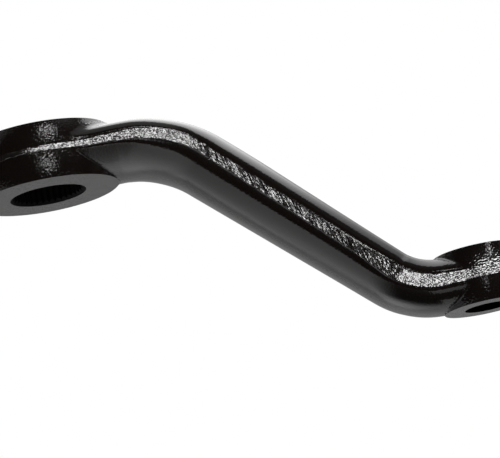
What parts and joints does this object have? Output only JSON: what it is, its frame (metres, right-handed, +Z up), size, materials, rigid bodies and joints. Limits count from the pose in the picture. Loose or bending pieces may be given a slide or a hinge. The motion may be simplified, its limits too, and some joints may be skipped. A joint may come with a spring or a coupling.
{
  "type": "pitman arm",
  "caption": "Dropped steering pitman arm: an S-bent drop forging with a serrated sector-shaft eye at the upper end and a tapered ball-stud eye at the lower end.",
  "frame": {"origin": "on the axis of the serrated sector-shaft bore, half way between the two machined faces of its eye", "axes": "+Z up along the bore towards the steering gear, +X towards the ball-stud eye"},
  "size_m": [0.2285, 0.068, 0.1116],
  "materials": {
    "black_paint": "gloss black paint over forged steel"
  },
  "bodies": {
    "root": {"pitman_arm": "black_paint"}
  },
  "joints": []
}
